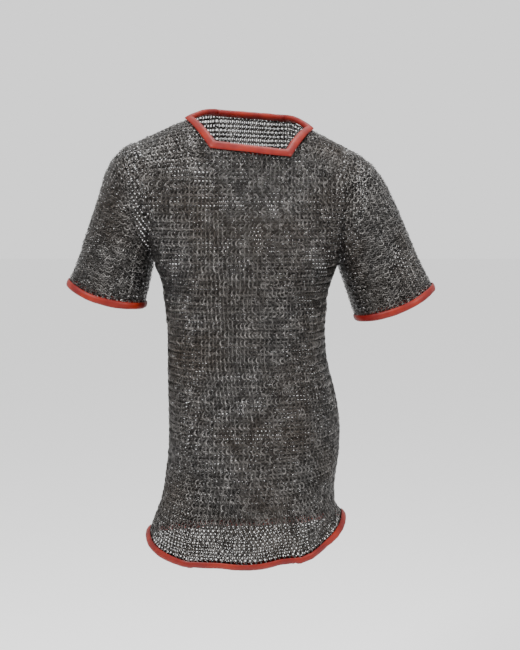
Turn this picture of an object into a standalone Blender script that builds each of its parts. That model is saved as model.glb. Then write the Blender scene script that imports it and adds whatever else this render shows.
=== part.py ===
"""Short-sleeved mail hauberk in its worn, hollow form, edged with folded leather.

Frame: metres, +Z up, +X to the left sleeve of the wearer, -Y to the front.
The origin is the point between the shoulders, where the wearer carries it.
Every wall is worked out from the section tables below, given in millimetres.
"""

import math
from collections import defaultdict, namedtuple

import bmesh
import bpy
from mathutils import Vector

MM = 0.001

# Material sizes, in metres
MAIL_WALL = 0.003
LEATHER = 0.0013
FOLD_ROUNDING = 0.0006
SEAM_GAP = 0.0003
BAND_CLEAR = 0.0005
CUFF_BAND = 0.0095

# Mesh counts: rows up the body, rows round each armhole half, rings along a sleeve
BODY_ROWS = 22
YOKE_ROWS = 11
SHOULDER_COLUMNS = 5
NECK_SIDE_COLUMNS = 5
NECK_MIDDLE_COLUMNS = 8
SLEEVE_RINGS = 11
ARC_SAMPLES = 240
SLEEVE_SAMPLES = 40

# Body sections from the hem up to the underarm: the edge, the line where its leather ends, and
# those above. A section is one closed ring: how far it reaches to each side, forward and back,
# how far its left side is lifted (and its right side lowered), how far its front and back sag,
# and its squareness.
BodySection = namedtuple("BodySection", "height right left front back tilt sag square")
BODY_SECTIONS = (
    BodySection(-750, -197, 177, 149, 143, 16, 43, 2.3),
    BodySection(-742, -190, 170, 153, 147, 16, 43, 2.3),
    BodySection(-722, -181, 158, 152, 146, 12, 30, 2.3),
    BodySection(-698, -170, 156, 146, 141, 7, 15, 2.3),
    BodySection(-667, -162, 156, 142, 139, 4, 5, 2.3),
    BodySection(-591, -153, 165, 137, 135, 2, 0, 2.3),
    BodySection(-515, -153, 160, 132, 127, 0, 0, 2.35),
    BodySection(-439, -154, 141, 128, 117, 0, 0, 2.4),
    BodySection(-380, -154, 136, 126, 112, 0, 0, 2.4),
    BodySection(-327, -160, 139, 126, 114, 0, 0, 2.4),
    BodySection(-290, -165, 148, 127, 118, 0, 0, 2.4),
    BodySection(-260, -177, 159, 128, 121, 0, 0, 2.4),
)
# How softly a section's sag turns over at its sides, as a share of its reach
SIDE_ROUNDING = 0.2

# Sleeve sections from the armhole to the cuff: the line over the arm, the line under it,
# half the depth from front to back, how far the lower corner is drawn up to a point, and
# how far the front hangs below the middle. The back hangs lower by BACK_HANG.
SleeveSection = namedtuple("SleeveSection", "top_x top_z under_x under_z depth rise drop")
BACK_HANG = 1.8
RIGHT_SLEEVE = (
    SleeveSection(-203, -33, -178, -260, 82, 60, 0),
    SleeveSection(-238, -50, -180, -268, 80, 36, 0),
    SleeveSection(-262, -80, -183, -280, 78, 20, 1),
    SleeveSection(-276, -124, -186, -292, 76, 9, 2),
    SleeveSection(-295, -179, -189, -305, 74, 3, 4),
    SleeveSection(-316, -242, -193, -319, 73, 0, 7),
    SleeveSection(-339, -297, -197, -339, 72, 0, 10),
)
LEFT_SLEEVE = (
    SleeveSection(172, -46, 159, -260, 82, 60, 0),
    SleeveSection(206, -64, 161, -268, 80, 36, 0),
    SleeveSection(231, -87, 166, -282, 78, 20, 1),
    SleeveSection(254, -124, 173, -301, 76, 9, 2),
    SleeveSection(279, -180, 181, -323, 74, 3, 4),
    SleeveSection(306, -242, 188, -343, 73, 0, 7),
    SleeveSection(339, -305, 196, -363, 72, 0, 10),
)

# Neckline corners, beside the neck and at the front and back of the opening. The band of
# mail under the leather reaches from each corner to the place that away_x, away_y, away_z give.
Corner = namedtuple("Corner", "x y z away_x away_y away_z")
NECK_RIGHT = Corner(-109, 0, 7, -10, 0, -3)
NECK_LEFT = Corner(103, 0, -11, 10, 0, -4)
NECK_FRONT = (Corner(-64, -84, -42, -6, -5, -10), Corner(64, -84, -57, 6, -5, -10))
NECK_BACK = (Corner(-63, 68, 24, -6, 8, -5), Corner(63, 68, 14, 6, 8, -6))
NECK_SIDE_LIFT = 5

# Pull of the yoke's curves, in millimetres: how far each runs level from the shoulder seam,
# at the armhole and beside the neck, and how it leaves the neckline
SHOULDER_PULL = 104
NECK_SEAM_PULL = 74
NECK_PULL_OUT = 14
NECK_PULL_DOWN = 66
CHEST_RISE = 0.46
EDGE_REACH = 0.24
# How far a cubic's two pulls go for the curve to reach out by one
CUBIC_REACH = 4.0 / 3.0

# Soft creases seen from the front or back: a line from one point to another, its half width
# and how far it stands out (or in, when negative)
Crease = namedtuple("Crease", "x0 z0 x1 z1 half_width depth")
FRONT_CREASES = (
    Crease(-118, -800, -104, -640, 26, 4),
    Crease(-60, -800, -66, -670, 24, -2),
    Crease(-8, -800, -20, -690, 30, 2),
    Crease(58, -800, 50, -700, 24, -5),
    Crease(100, -800, 92, -680, 24, 7),
    Crease(138, -780, 142, -640, 20, -4),
    Crease(126, -306, 40, -356, 22, -6),
    Crease(132, -350, 66, -384, 18, 5),
    Crease(136, -430, 60, -400, 20, -4),
    Crease(-140, -226, -86, -176, 22, -5),
    Crease(-160, -300, -100, -322, 20, -5),
    Crease(128, -220, 82, -160, 20, -5),
    Crease(-132, -560, -70, -600, 24, 4),
)
BACK_CREASES = (
    Crease(-124, -800, -110, -650, 26, 5),
    Crease(-72, -800, -70, -680, 24, -4),
    Crease(-14, -800, -6, -660, 28, 4),
    Crease(48, -800, 42, -700, 24, -4),
    Crease(104, -800, 98, -670, 24, 5),
    Crease(0, -200, 4, -420, 34, -6),
    Crease(-118, -300, -50, -346, 24, -5),
    Crease(112, -306, 50, -350, 24, -5),
    Crease(-110, -420, -40, -470, 24, 4),
    Crease(112, -430, 44, -486, 24, 4),
)
# Creases of a sleeve: place along it from armhole to cuff, place round it in turns from
# the underarm line by the front, spread along and round, and depth
SleeveCrease = namedtuple("SleeveCrease", "along turn spread_along spread_turn depth")
SLEEVE_CREASES = (
    SleeveCrease(0.45, 0.17, 0.30, 0.06, -4),
    SleeveCrease(0.75, 0.30, 0.22, 0.07, 3),
    SleeveCrease(0.55, 0.80, 0.30, 0.07, -4),
    SleeveCrease(0.80, 0.66, 0.20, 0.07, 3),
)

# How creases fade: the depth lost by their far end, the share of a panel over which they
# start beside a side seam, where up the yoke they begin to end, and the share of a sleeve
# over which they start below the armhole
CREASE_TAPER = 0.75
SEAM_FADE = 0.12
YOKE_FADE = 0.5
ARMHOLE_FADE = 0.25

# Finishes: colour, roughness, metallic
STEEL = ((0.115, 0.108, 0.102, 1.0), 0.42, 0.85)
LEATHER_FINISH = ((0.42, 0.055, 0.035, 1.0), 0.5, 0.0)
SHARP_ANGLE = math.radians(50.0)

# Sides of a folded strip's cross-section, counted from its outer face's mail side: those
# that start on the band line, and those that run across the strip from band to edge
STARTS_ON_BAND = (1, 5, 6, 8)
OUTER_AND_INNER_RUN = (1, 6)

FRONT, BACK = -1.0, 1.0


def clear_scene():
    """Remove every object that the file holds."""
    for old in list(bpy.data.objects):
        bpy.data.objects.remove(old, do_unlink=True)


def make_material(name, finish):
    """Return a plain material of one colour."""
    colour, roughness, metallic = finish
    material = bpy.data.materials.new(name)
    material.use_nodes = True
    shader = material.node_tree.nodes["Principled BSDF"]
    shader.inputs["Base Color"].default_value = colour
    shader.inputs["Roughness"].default_value = roughness
    shader.inputs["Metallic"].default_value = metallic
    material.diffuse_color = colour
    return material


def smoothstep(low, high, value):
    """Rise smoothly from 0 at low to 1 at high."""
    share = min(max((value - low) / (high - low), 0.0), 1.0)
    return share * share * (3.0 - 2.0 * share)


def corner_point(corner, away):
    """Return a neckline corner in metres: on the edge, or at away 1 across the leather's band."""
    shift = Vector((corner.away_x, corner.away_y, corner.away_z)) * away
    return (Vector((corner.x, corner.y, corner.z)) + shift) * MM


def smooth_row(rows, place):
    """Read a table between its rows, place running from 0 at the first to 1 at the last."""
    position = place * (len(rows) - 1)
    index = min(int(position), len(rows) - 2)
    share = position - index
    before = rows[max(index - 1, 0)]
    start = rows[index]
    end = rows[index + 1]
    after = rows[min(index + 2, len(rows) - 1)]
    values = []
    for p0, p1, p2, p3 in zip(before, start, end, after):
        slope_in = (p2 - p0) / 2.0
        slope_out = (p3 - p1) / 2.0
        rise = p2 - p1
        values.append(p1 + share * (slope_in + share * (
            3.0 * rise - 2.0 * slope_in - slope_out + share * (slope_in + slope_out - 2.0 * rise))))
    return type(start)(*values)


def bezier(p0, p1, p2, p3, share):
    """Return the point at a share of a cubic curve."""
    rest = 1.0 - share
    return (p0 * rest ** 3 + p1 * (3.0 * rest * rest * share)
            + p2 * (3.0 * rest * share * share) + p3 * share ** 3)


def resample(path, count):
    """Return count + 1 points evenly spaced along a fine path."""
    lengths = [0.0]
    for start, end in zip(path, path[1:]):
        lengths.append(lengths[-1] + (end - start).length)
    result = []
    index = 0
    for step in range(count + 1):
        wanted = lengths[-1] * step / count
        while index < len(path) - 2 and lengths[index + 1] < wanted:
            index += 1
        span = lengths[index + 1] - lengths[index]
        result.append(path[index].lerp(path[index + 1], (wanted - lengths[index]) / span))
    return result


def half_ring(section, side, columns):
    """Return one body section's front or back half, from the right side to the left."""
    centre = (section.right + section.left) / 2.0
    reach = (section.left - section.right) / 2.0
    depth = section.front if side == FRONT else section.back
    power = 2.0 / section.square
    path = []
    for step in range(ARC_SAMPLES + 1):
        angle = math.pi * step / ARC_SAMPLES
        across = -math.copysign(abs(math.cos(angle)) ** power, math.cos(angle))
        out = abs(math.sin(angle)) ** power if 0 < step < ARC_SAMPLES else 0.0
        height = section.height + section.tilt * across * abs(across) - section.sag * rounded(out)
        path.append(Vector((centre + reach * across, side * depth * out, height)) * MM)
    return resample(path, columns)


def rounded(out):
    """Rise from 0 to 1 with out, starting softly."""
    rise = math.hypot(out, SIDE_ROUNDING) - SIDE_ROUNDING
    return rise / (math.hypot(1.0, SIDE_ROUNDING) - SIDE_ROUNDING)


def sleeve_half(section, side, count):
    """Return a sleeve section's front or back half, from the underarm line to the top."""
    under = Vector((section.under_x, 0.0, section.under_z)) * MM
    top = Vector((section.top_x, 0.0, section.top_z)) * MM
    outward = Vector((0.0, side * section.depth * CUBIC_REACH, 0.0)) * MM
    raised = (top - under).normalized() * (section.rise * MM)
    hang = section.drop * (BACK_HANG if side == BACK else 1.0)
    path = []
    for step in range(count + 1):
        share = step / count
        spot = bezier(under, under + outward + raised, top + outward, top, share)
        bulge = 4.0 * share * (1.0 - share)
        spot.z -= hang * bulge * bulge * MM
        path.append(spot)
    return path


def top_edge(side, away):
    """Return the yoke's top edge: right shoulder seam, neckline half, left shoulder seam."""
    right_tip = Vector((RIGHT_SLEEVE[0].top_x, 0.0, RIGHT_SLEEVE[0].top_z)) * MM
    left_tip = Vector((LEFT_SLEEVE[0].top_x, 0.0, LEFT_SLEEVE[0].top_z)) * MM
    corners = NECK_FRONT if side == FRONT else NECK_BACK
    inner_stops = [corner_point(corner, away)
                   for corner in (NECK_RIGHT, corners[0], corners[1], NECK_LEFT)]
    stops = [right_tip] + inner_stops + [left_tip]
    counts = (SHOULDER_COLUMNS, NECK_SIDE_COLUMNS, NECK_MIDDLE_COLUMNS,
              NECK_SIDE_COLUMNS, SHOULDER_COLUMNS)
    path = [right_tip]
    for leg, count in enumerate(counts):
        for step in range(1, count + 1):
            share = step / count
            spot = stops[leg].lerp(stops[leg + 1], share)
            if leg in (1, 3):
                spot.z += NECK_SIDE_LIFT * MM * 4.0 * share * (1.0 - share)
            path.append(spot)
    return path


def neck_share(column):
    """Return 0 on a shoulder seam, 1 at the middle of the neckline, smooth between."""
    columns = column_count()
    from_end = min(column, columns - column)
    return smoothstep(SHOULDER_COLUMNS, SHOULDER_COLUMNS + NECK_SIDE_COLUMNS, from_end)


def column_count():
    """Return how many columns a body panel has."""
    return 2 * SHOULDER_COLUMNS + 2 * NECK_SIDE_COLUMNS + NECK_MIDDLE_COLUMNS


def crease_offset(spot, creases):
    """Return how far the creases move a point of the body out of its smooth form."""
    total = 0.0
    for crease in creases:
        start = Vector((crease.x0, crease.z0)) * MM
        line = Vector((crease.x1, crease.z1)) * MM - start
        here = Vector((spot.x, spot.z)) - start
        share = min(max(here.dot(line) / line.length_squared, 0.0), 1.0)
        away = (here - line * share).length / (crease.half_width * MM)
        fade = 1.0 - CREASE_TAPER * share * share
        total += crease.depth * MM * fade * math.exp(-away * away)
    return total


def grid_normals(grid, wrap):
    """Return a unit normal for each point of a grid, by the points beside it."""
    rows = len(grid)
    columns = len(grid[0])
    normals = []
    for row in range(rows):
        line = []
        for column in range(columns):
            below = grid[max(row - 1, 0)][column]
            above = grid[min(row + 1, rows - 1)][column]
            if wrap:
                left = grid[row][(column - 1) % columns]
                right = grid[row][(column + 1) % columns]
            else:
                left = grid[row][max(column - 1, 0)]
                right = grid[row][min(column + 1, columns - 1)]
            line.append((right - left).cross(above - below).normalized())
        normals.append(line)
    return normals


def body_panel(side):
    """Return the grid of the front or back panel, rows from the hem to the shoulders."""
    columns = column_count()
    band_place = 1.0 / (len(BODY_SECTIONS) - 1)
    grid = [half_ring(BODY_SECTIONS[0], side, columns)]
    for row in range(BODY_ROWS):
        place = band_place + (1.0 - band_place) * row / (BODY_ROWS - 1)
        grid.append(half_ring(smooth_row(BODY_SECTIONS, place), side, columns))
    base = grid[-1]
    top = top_edge(side, 1.0)
    right_edge = sleeve_half(RIGHT_SLEEVE[0], side, YOKE_ROWS)
    left_edge = sleeve_half(LEFT_SLEEVE[0], side, YOKE_ROWS)
    for row in range(1, YOKE_ROWS + 1):
        share = row / YOKE_ROWS
        line = [right_edge[row]]
        for column in range(1, columns):
            line.append(yoke_point(base[column], top[column], column, share, side))
        line.append(left_edge[row])
        grid.append(line)
    return add_creases(grid, FRONT_CREASES if side == FRONT else BACK_CREASES, side)


def yoke_point(base, top, column, share, side):
    """Return one point of the yoke, on the curve from the chest up to the top edge."""
    place = column / column_count()
    edge = 1.0 - smoothstep(0.0, EDGE_REACH, min(place, 1.0 - place))
    pull = RIGHT_SLEEVE[0].depth * CUBIC_REACH
    corner = Vector((0.0, side * pull, RIGHT_SLEEVE[0].rise)) * MM
    chest = Vector((0.0, 0.0, (top.z - base.z) * CHEST_RISE))
    seam_share = min(column, column_count() - column) / SHOULDER_COLUMNS
    seam_pull = SHOULDER_PULL + (NECK_SEAM_PULL - SHOULDER_PULL) * min(seam_share, 1.0)
    seam = Vector((0.0, side * seam_pull, 0.0)) * MM
    neck = Vector((0.0, side * NECK_PULL_OUT, -NECK_PULL_DOWN)) * MM
    start = base + chest.lerp(corner, edge)
    finish = top + seam.lerp(neck, neck_share(column))
    return bezier(base, start, finish, top, share)


def add_creases(grid, creases, side):
    """Move the grid's points by its creases, leaving its seams where they are."""
    normals = grid_normals(grid, False)
    columns = len(grid[0]) - 1
    result = []
    for row, line in enumerate(grid):
        moved = []
        up_yoke = (row - BODY_ROWS) / YOKE_ROWS
        height_fade = 1.0 - smoothstep(YOKE_FADE, 1.0, up_yoke)
        for column, spot in enumerate(line):
            place = min(column, columns - column) / columns
            fade = smoothstep(0.0, SEAM_FADE, place) * height_fade
            outward = normals[row][column] * (-side)
            moved.append(spot + outward * (crease_offset(spot, creases) * fade))
        result.append(moved)
    return result


def sleeve_tube(sections):
    """Return a sleeve's grid, a ring for each row, from the armhole to the cuff.

    The last two rings are a leather band's width apart all round.
    """
    rings = []
    for step in range(SLEEVE_SAMPLES + 1):
        section = smooth_row(sections, step / SLEEVE_SAMPLES)
        back = sleeve_half(section, BACK, YOKE_ROWS)
        rings.append(sleeve_half(section, FRONT, YOKE_ROWS) + back[-2:0:-1])
    columns = []
    for path in zip(*rings):
        length = sum((end - start).length for start, end in zip(path, path[1:]))
        fine = resample(path, SLEEVE_SAMPLES * 2)
        band_share = 1.0 - CUFF_BAND / length
        places = [band_share * ring / (SLEEVE_RINGS - 1) for ring in range(SLEEVE_RINGS)] + [1.0]
        columns.append([read_path(fine, place) for place in places])
    grid = [list(ring) for ring in zip(*columns)]
    normals = grid_normals(grid, True)
    outward = outward_sign(grid, normals)
    for ring, line in enumerate(grid):
        for column, spot in enumerate(line):
            offset = sleeve_crease_offset(ring / SLEEVE_RINGS, column / len(line))
            line[column] = spot + normals[ring][column] * (outward * offset)
    return grid


def read_path(path, share):
    """Return the point at a share of an evenly sampled path."""
    position = share * (len(path) - 1)
    index = min(int(position), len(path) - 2)
    return path[index].lerp(path[index + 1], position - index)


def sleeve_crease_offset(along, turn):
    """Return how far a sleeve's creases move a point out, nothing at the armhole."""
    total = 0.0
    for crease in SLEEVE_CREASES:
        across = abs(turn - crease.turn)
        across = min(across, 1.0 - across) / crease.spread_turn
        down = (along - crease.along) / crease.spread_along
        total += crease.depth * MM * math.exp(-across * across - down * down)
    return total * smoothstep(0.0, ARMHOLE_FADE, along)


def outward_sign(grid, normals):
    """Return 1 where a tube's normals point away from its axis, else -1."""
    middle = len(grid) // 2
    centre = sum(grid[middle], Vector()) / len(grid[middle])
    return 1.0 if normals[middle][0].dot(grid[middle][0] - centre) > 0.0 else -1.0


def key(spot):
    """Return a point's key, the same for points that meet at a seam."""
    return tuple(round(value, 6) for value in spot)


def grid_quads(grid, wrap, turned):
    """Return a grid's quads as corner points, ordered so that they face out."""
    columns = len(grid[0])
    quads = []
    for row in range(len(grid) - 1):
        for column in range(columns if wrap else columns - 1):
            beside = (column + 1) % columns
            quad = (grid[row][column], grid[row][beside],
                    grid[row + 1][beside], grid[row + 1][column])
            quads.append(quad[::-1] if turned else quad)
    return quads


def panel_quads(grid, neckline, turned):
    """Return a body panel's quads: its grid, and the band between the yoke and the neckline."""
    first = SHOULDER_COLUMNS
    last = column_count() - SHOULDER_COLUMNS
    band = [grid[-1][first:last + 1], neckline[first:last + 1]]
    return grid_quads(grid, False, turned) + grid_quads(band, False, turned)


def group_normals(quads):
    """Return unit normals by point key, the mean over one group's quads."""
    sums = defaultdict(Vector)
    for quad in quads:
        normal = (quad[2] - quad[0]).cross(quad[3] - quad[1])
        for spot in quad:
            sums[key(spot)] += normal
    return {spot: total.normalized() for spot, total in sums.items()}


def shared_normals(groups):
    """Return normals that pieces share where they meet, halfway between their own."""
    sums = defaultdict(Vector)
    for group in groups:
        for spot, normal in group.items():
            sums[spot] += normal
    return {spot: total.normalized() for spot, total in sums.items()}


def new_object(name, vertices, triangles, material):
    """Make a closed body with its faces pointing out."""
    mesh = bpy.data.meshes.new(name)
    mesh.from_pydata([tuple(spot) for spot in vertices], [], triangles)
    body = bmesh.new()
    body.from_mesh(mesh)
    bmesh.ops.recalc_face_normals(body, faces=body.faces)
    body.to_mesh(mesh)
    body.free()
    mesh.materials.append(material)
    mesh.shade_smooth()
    mesh.set_sharp_from_angle(angle=SHARP_ANGLE)
    made = bpy.data.objects.new(name, mesh)
    bpy.context.scene.collection.objects.link(made)
    return made


def quad_triangles(corners, turned=False):
    """Return a quad's two triangles, cut from its first corner, or from its second if turned."""
    a, b, c, d = corners
    if turned:
        return [(a, b, d), (b, c, d)]
    return [(a, b, c), (a, c, d)]


def make_wall(name, quads, normals, aside, turned, material):
    """Make a mail wall from quads on its outside, closed along its open edges.

    Each strip along an edge is cut from the edge point that comes first by place, so that
    two walls that meet at a seam have the same strip.
    """
    places = {}
    spots = []
    outer = []
    inner = []
    triangles = []
    borders = {}
    indexed = []
    for quad in quads:
        corners = []
        for spot in quad:
            if key(spot) not in places:
                places[key(spot)] = len(outer)
                spots.append(key(spot))
                outer.append(spot + aside)
                inner.append(spot - normals[key(spot)] * MAIL_WALL + aside)
            corners.append(places[key(spot)])
        indexed.append(corners)
    half = len(outer)
    for corners in indexed:
        for a, b, c in quad_triangles(corners, turned):
            triangles.append((a, b, c))
            triangles.append((a + half, c + half, b + half))
        for start, end in zip(corners, corners[1:] + corners[:1]):
            if (end, start) in borders:
                del borders[(end, start)]
            else:
                borders[(start, end)] = True
    for start, end in borders:
        strip = (end, start, start + half, end + half)
        triangles.extend(quad_triangles(strip, spots[start] < spots[end]))
    return new_object(name, outer + inner, triangles, material)


def make_binding(name, edge, band, cuts, normals, material):
    """Make a leather strip folded over an open edge, lying on both faces of the mail.

    edge and band are matching points on the edge and across the strip, and cuts says for
    each stretch whether the mail's quad below it is cut from its edge point.
    """
    count = len(edge)
    profiles = [binding_profile(spot, far_spot, normals[key(spot)], normals[key(far_spot)])
                for spot, far_spot in zip(edge, band)]
    points = len(profiles[0])
    vertices = [spot for profile in profiles for spot in profile]
    triangles = []
    for step in range(count):
        here = step * points
        there = (step + 1) % count * points
        for corner in range(points):
            beside = (corner + 1) % points
            from_first = cuts[step] != (corner in OUTER_AND_INNER_RUN)
            corners = (here + corner, here + beside, there + beside, there + corner)
            turned = corner in STARTS_ON_BAND and not from_first
            triangles.extend(quad_triangles(corners, turned))
    return new_object(name, vertices, triangles, material)


def binding_profile(spot, far_spot, normal, far_normal):
    """Return the folded strip's cross-section at one place of the edge."""
    near = BAND_CLEAR
    far = BAND_CLEAR + LEATHER
    away = (spot - far_spot).normalized()
    inside = spot - normal * MAIL_WALL
    far_inside = far_spot - far_normal * MAIL_WALL
    return (
        far_spot + far_normal * near,
        far_spot + far_normal * far,
        spot + normal * far + away * near,
        (spot + inside) / 2.0 + away * (far + FOLD_ROUNDING),
        inside - normal * far + away * near,
        far_inside - far_normal * far,
        far_inside - far_normal * near,
        inside - normal * near + away * near,
        spot + normal * near + away * near,
    )


def loop_cuts(front_from_edge, front_count, back_count):
    """Return for each stretch of a body loop whether its quad is cut from the edge point."""
    return [front_from_edge] * front_count + [not front_from_edge] * back_count


def main():
    """Build the hauberk."""
    clear_scene()
    steel = make_material("mail", STEEL)
    leather = make_material("leather", LEATHER_FINISH)

    front = body_panel(FRONT)
    back = body_panel(BACK)
    neck_front = top_edge(FRONT, 0.0)
    neck_back = top_edge(BACK, 0.0)
    right = sleeve_tube(RIGHT_SLEEVE)
    left = sleeve_tube(LEFT_SLEEVE)
    right_turned = outward_sign(right, grid_normals(right, True)) < 0.0
    left_turned = outward_sign(left, grid_normals(left, True)) < 0.0

    quads = {
        "body_front": panel_quads(front, neck_front, False),
        "body_back": panel_quads(back, neck_back, True),
        "sleeve_right": grid_quads(right, True, right_turned),
        "sleeve_left": grid_quads(left, True, left_turned),
    }
    normals = shared_normals((
        group_normals(quads["body_front"] + quads["body_back"]),
        group_normals(quads["sleeve_right"]),
        group_normals(quads["sleeve_left"]),
    ))
    aside = {
        "body_front": Vector((0.0, -SEAM_GAP / 2.0, 0.0)),
        "body_back": Vector((0.0, SEAM_GAP / 2.0, 0.0)),
        "sleeve_right": Vector((-SEAM_GAP, 0.0, 0.0)),
        "sleeve_left": Vector((SEAM_GAP, 0.0, 0.0)),
    }
    turned = {"body_front": False, "body_back": True,
              "sleeve_right": right_turned, "sleeve_left": left_turned}
    for name, faces in quads.items():
        make_wall(name, faces, normals, aside[name], turned[name], steel)

    columns = column_count()
    first = SHOULDER_COLUMNS
    last = columns - SHOULDER_COLUMNS
    make_binding("neck_binding",
                 neck_front[first:last] + neck_back[last:first:-1],
                 front[-1][first:last] + back[-1][last:first:-1],
                 loop_cuts(False, last - first, last - first), normals, leather)
    make_binding("hem_binding",
                 front[0][:-1] + back[0][:0:-1], front[1][:-1] + back[1][:0:-1],
                 loop_cuts(True, columns, columns), normals, leather)
    for name, tube in (("right", right), ("left", left)):
        cuts = [False] * len(tube[-1])
        make_binding("cuff_binding_" + name, tube[-1], tube[-2], cuts, normals, leather)


main()
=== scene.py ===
"""Looks of a short-sleeved mail shirt: rows of steel rings, edged with folded red leather.

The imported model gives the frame. Rows of rings are laid along the middle of its walls, each
ring a small closed hoop that leans one way in its row and the other way in the next, and
leather strips are folded over the neck, the cuffs and the hem.
"""

import logging
import math
from dataclasses import dataclass
from enum import Enum
from typing import Any, Sequence

import bpy
import numpy as np
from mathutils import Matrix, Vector, noise
from mathutils.bvhtree import BVHTree


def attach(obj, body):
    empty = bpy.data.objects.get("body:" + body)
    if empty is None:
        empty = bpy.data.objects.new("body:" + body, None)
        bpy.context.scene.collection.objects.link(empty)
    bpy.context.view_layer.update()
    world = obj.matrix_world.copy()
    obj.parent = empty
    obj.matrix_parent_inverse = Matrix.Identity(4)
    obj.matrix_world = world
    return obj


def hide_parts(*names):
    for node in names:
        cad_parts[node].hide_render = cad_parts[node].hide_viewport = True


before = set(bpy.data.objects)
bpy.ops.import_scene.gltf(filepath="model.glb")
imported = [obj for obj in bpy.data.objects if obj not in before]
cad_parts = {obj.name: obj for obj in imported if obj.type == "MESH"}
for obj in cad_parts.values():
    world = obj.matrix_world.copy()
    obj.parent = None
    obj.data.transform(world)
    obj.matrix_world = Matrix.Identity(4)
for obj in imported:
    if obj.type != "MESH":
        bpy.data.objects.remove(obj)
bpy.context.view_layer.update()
LOG = logging.getLogger("mail_shirt")

MM = 0.001
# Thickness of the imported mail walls
WALL = 3.0 * MM
RAY_REACH = 0.6
# How far a cuff's or the hem's strip reaches up the mail
STRIP_WIDTH = 9.5 * MM
# A ray that meets a face at less than this cosine only grazes it
GRAZING = 0.12
TINY = 1e-9
Array = np.ndarray
Colour = tuple[float, float, float]


class Side(Enum):
    """A panel of the body, by the sign of Y that it faces."""

    FRONT = -1.0
    BACK = 1.0


class Slot(Enum):
    """The record's material slots."""

    MAIL = "mail"
    LEATHER = "leather"


# Materials


class Socket:
    """A shader node's output that can stand in a Python expression."""

    def __init__(self, shader: "Shader", output: bpy.types.NodeSocket) -> None:
        """Keep the shader and the output."""
        self.shader = shader
        self.output = output

    def _maths(self, operation: str, first: Any, second: Any) -> "Socket":
        """Return the result of a Math node on two values."""
        return self.shader.node("ShaderNodeMath", {"operation": operation}, {0: first, 1: second})

    def __add__(self, other: Any) -> "Socket":
        """Return self + other."""
        return self._maths("ADD", self, other)

    def __sub__(self, other: Any) -> "Socket":
        """Return self - other."""
        return self._maths("SUBTRACT", self, other)

    def __rsub__(self, other: Any) -> "Socket":
        """Return other - self."""
        return self._maths("SUBTRACT", other, self)

    def __mul__(self, other: Any) -> "Socket":
        """Return self * other."""
        return self._maths("MULTIPLY", self, other)

    __radd__ = __add__
    __rmul__ = __mul__


class Shader:
    """A material whose nodes are made from Python."""

    def __init__(self, name: str) -> None:
        """Start a material of this name with its Principled shader alone."""
        self.material = bpy.data.materials.new(name)
        self.material.use_nodes = True
        self.tree = self.material.node_tree
        self.surface = self.tree.nodes["Principled BSDF"]

    def node(self, kind: str, settings: dict[str, Any] | None = None,
             inputs: dict[Any, Any] | None = None, output: Any = 0) -> Socket:
        """Add a node.

        Args:
            kind: The node's type.
            settings: Its settings.
            inputs: Values or sockets by the input's name or number.
            output: Name or number of the output that is wanted.

        Returns:
            The output, for use in an expression.
        """
        made = self.tree.nodes.new(kind)
        for name, value in (settings or {}).items():
            setattr(made, name, value)
        for name, value in (inputs or {}).items():
            if isinstance(value, Socket):
                self.tree.links.new(value.output, made.inputs[name])
            else:
                made.inputs[name].default_value = value
        return Socket(self, made.outputs[output])

    def mix(self, share: Any, first: Any, second: Any) -> Socket:
        """Return a colour between first and second.

        Args:
            share: How much of the second colour, from 0 to 1.
            first: A colour or a socket.
            second: A colour or a socket.

        Returns:
            The mixed colour.
        """
        colours = [value if isinstance(value, Socket) else (*value, 1.0)
                   for value in (first, second)]
        return self.node("ShaderNodeMix", {"data_type": "RGBA", "clamp_factor": True},
                         {0: share, 6: colours[0], 7: colours[1]}, 2)

    def clouds(self, place: Socket, size: float, detail: float) -> Socket:
        """Return soft noise from 0 to 1, by the size of its blotches and its finer layers."""
        return self.node("ShaderNodeTexNoise", {"noise_dimensions": "3D"},
                         {"Vector": place, "Scale": 1.0 / size, "Detail": detail})

    def finish(self, **links: Any) -> bpy.types.Material:
        """Set or link the surface's inputs.

        Args:
            links: Input names, with underscores for spaces, and their values or sockets.

        Returns:
            The material.
        """
        for name, value in links.items():
            socket = self.surface.inputs[name.replace("_", " ")]
            if isinstance(value, Socket):
                self.tree.links.new(value.output, socket)
            else:
                socket.default_value = value
        return self.material


@dataclass(frozen=True)
class SteelFinish:
    """Oiled steel wire, darkened between the rubbed places."""

    name: str = "mail_steel"
    dark: Colour = (0.009, 0.0085, 0.0085)
    bright: Colour = (0.172, 0.164, 0.157)
    oil: Colour = (0.036, 0.026, 0.018)
    oil_from: float = 0.42
    oil_gain: float = 1.86
    ring_share: float = 0.75
    roughness: float = 0.24
    roughness_spread: float = 0.20
    blotch: float = 0.13
    pitting: float = 1.6 * MM

    def make(self) -> bpy.types.Material:
        """Make a tone for each ring, oil stains and fine pitting.

        Returns:
            The material.
        """
        shader = Shader(self.name)
        place = shader.node("ShaderNodeTexCoord", output="Object")
        tone = shader.node("ShaderNodeAttribute", {"attribute_name": "ring_tone"}, output="Fac")
        stains = shader.clouds(place, self.blotch, 3.0)
        pits = shader.clouds(place, self.pitting, 2.0)
        tone = tone * self.ring_share + pits * (1.0 - self.ring_share)
        colour = shader.mix(tone, self.dark, self.bright)
        colour = shader.mix((stains - self.oil_from) * self.oil_gain, colour, self.oil)
        relief = shader.node("ShaderNodeBump", inputs={
            "Strength": 0.25, "Distance": 0.2 * MM, "Height": pits})
        return shader.finish(
            Base_Color=colour,
            Metallic=1.0,
            Roughness=self.roughness + self.roughness_spread * (pits * 0.6 + stains * 0.4),
            Normal=relief)


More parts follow.
